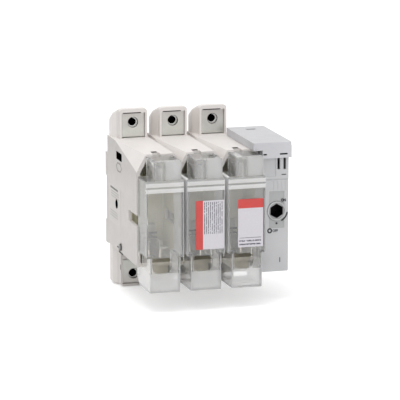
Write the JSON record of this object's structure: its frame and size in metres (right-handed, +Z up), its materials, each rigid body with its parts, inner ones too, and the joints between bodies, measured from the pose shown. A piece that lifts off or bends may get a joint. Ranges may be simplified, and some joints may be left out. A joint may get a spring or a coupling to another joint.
{
  "type": "fuse switch disconnector",
  "caption": "Multi-pole fuse switch disconnector with clear hinged fuse covers, terminal plates above and below, and a side mechanism that a hexagon drive socket turns.",
  "frame": {"origin": "on the mounting plane that the feet stand on, behind the middle pole, half way between its upper and lower terminal holes", "axes": "+X to the right as seen from the front, +Y into the panel (the front faces -Y), +Z up"},
  "size_m": [0.135, 0.1352, 0.1579],
  "materials": {
    "cream_plastic": "satin moulded",
    "grey_plastic": "satin moulded",
    "clear_plastic": "clear",
    "dark_plastic": "moulded",
    "tinned_copper": "tin plated",
    "jaw_brass": "plated",
    "steel": "zinc plated"
  },
  "bodies": {
    "frame": {"pole_casing_left": "cream_plastic", "pole_casing_middle": "cream_plastic", "pole_casing_right": "cream_plastic", "pole_base_left": "cream_plastic", "pole_base_middle": "cream_plastic", "pole_base_right": "cream_plastic", "cover_hinge_pin_left": "steel", "cover_hinge_pin_middle": "steel", "cover_hinge_pin_right": "steel", "terminal_bar_upper_left": "tinned_copper", "terminal_bar_lower_left": "tinned_copper", "terminal_bar_upper_middle": "tinned_copper", "terminal_bar_lower_middle": "tinned_copper", "terminal_bar_upper_right": "tinned_copper", "terminal_bar_lower_right": "tinned_copper", "captive_nut_upper_left": "steel", "captive_nut_lower_left": "steel", "captive_nut_upper_middle": "steel", "captive_nut_lower_middle": "steel", "captive_nut_upper_right": "steel", "captive_nut_lower_right": "steel", "fuse_jaw_upper_left": "jaw_brass", "fuse_jaw_lower_left": "jaw_brass", "fuse_jaw_upper_middle": "jaw_brass", "fuse_jaw_lower_middle": "jaw_brass", "fuse_jaw_upper_right": "jaw_brass", "fuse_jaw_lower_right": "jaw_brass", "jaw_spring_upper_left": "steel", "jaw_spring_lower_left": "steel", "jaw_spring_upper_middle": "steel", "jaw_spring_lower_middle": "steel", "jaw_spring_upper_right": "steel", "jaw_spring_lower_right": "steel", "hub_bush": "grey_plastic", "mechanism_housing": "grey_plastic", "mechanism_front": "grey_plastic", "mechanism_roof": "grey_plastic", "rack_spring": "steel", "tie_rod_upper": "steel", "tie_rod_lower": "steel"},
    "cover_left": {"fuse_cover_left": "clear_plastic"},
    "cover_middle": {"fuse_cover_middle": "clear_plastic"},
    "cover_right": {"fuse_cover_right": "clear_plastic"},
    "drive": {"drive_hub": "grey_plastic", "drive_pinion": "steel"},
    "carrier": {"crossbar": "dark_plastic", "drive_rack": "dark_plastic", "contact_carrier_left": "dark_plastic", "contact_carrier_middle": "dark_plastic", "contact_carrier_right": "dark_plastic", "bridge_contact_upper_left": "tinned_copper", "bridge_contact_lower_left": "tinned_copper", "bridge_contact_upper_middle": "tinned_copper", "bridge_contact_lower_middle": "tinned_copper", "bridge_contact_upper_right": "tinned_copper", "bridge_contact_lower_right": "tinned_copper"}
  },
  "joints": [
    {"name": "cover_left_swing", "type": "hinge", "parent": "frame", "child": "cover_left", "pos_m": [-0.036, -0.098, -0.0505], "axis": [1, 0, 0], "range_deg": [0, 110]},
    {"name": "cover_middle_swing", "type": "hinge", "parent": "frame", "child": "cover_middle", "pos_m": [0, -0.098, -0.0505], "axis": [1, 0, 0], "range_deg": [0, 110]},
    {"name": "cover_right_swing", "type": "hinge", "parent": "frame", "child": "cover_right", "pos_m": [0.036, -0.098, -0.0505], "axis": [1, 0, 0], "range_deg": [0, 110]},
    {"name": "drive_turn", "type": "hinge", "parent": "frame", "child": "drive", "pos_m": [0.068, 0, 0], "axis": [0, 1, 0], "range_deg": [0, 90]},
    {"name": "carrier_slide", "type": "slide", "parent": "frame", "child": "carrier", "axis": [0, 0, 1], "range_m": [0, 0.01178], "deforming": ["rack_spring"]}
  ],
  "couplings": [
    {"joint": "drive_turn", "follows": "carrier_slide", "rad_per_m": 133.33}
  ]
}
